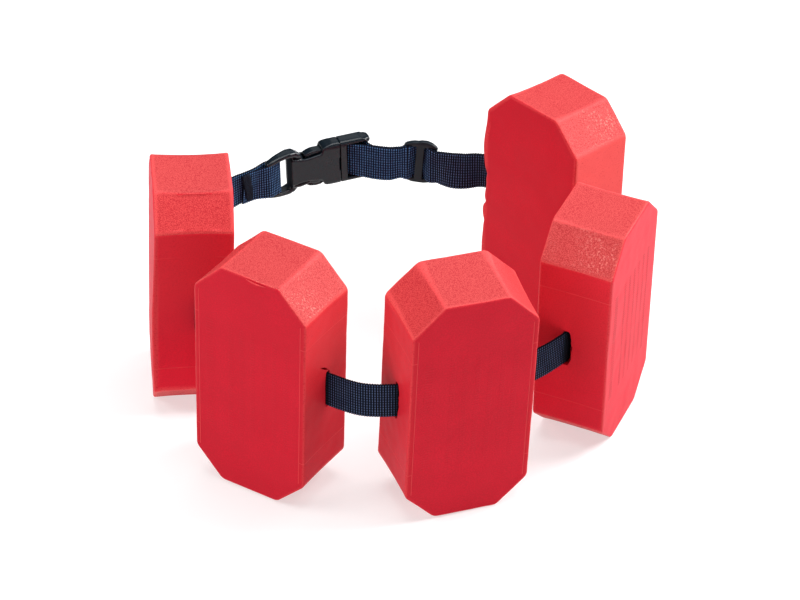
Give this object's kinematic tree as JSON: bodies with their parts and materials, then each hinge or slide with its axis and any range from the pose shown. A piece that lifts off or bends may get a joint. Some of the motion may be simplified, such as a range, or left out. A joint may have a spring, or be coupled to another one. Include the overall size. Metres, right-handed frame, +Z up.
{
  "type": "swim belt",
  "caption": "Learn-to-swim belt of octagonal red foam floats threaded on a navy webbing strap, closed at the back by a side-release buckle with a slider for its length.",
  "frame": {"origin": "on the ground under the middle of the belt's box", "axes": "+Z up; the wearer stands in the ring; the buckle is on the +Y side; +X runs from the first float toward the fourth"},
  "size_m": [0.322, 0.2976, 0.1628],
  "materials": {
    "foam": "matte closed-cell foam",
    "webbing": "ribbed woven webbing",
    "plastic": "satin moulded plastic"
  },
  "bodies": {
    "root": {"foam_block_1": "foam", "foam_block_2": "foam", "foam_block_3": "foam", "foam_block_4": "foam", "foam_block_5": "foam", "webbing_strap": "webbing", "buckle_female": "plastic", "buckle_male": "plastic", "strap_slider": "plastic"}
  },
  "joints": []
}
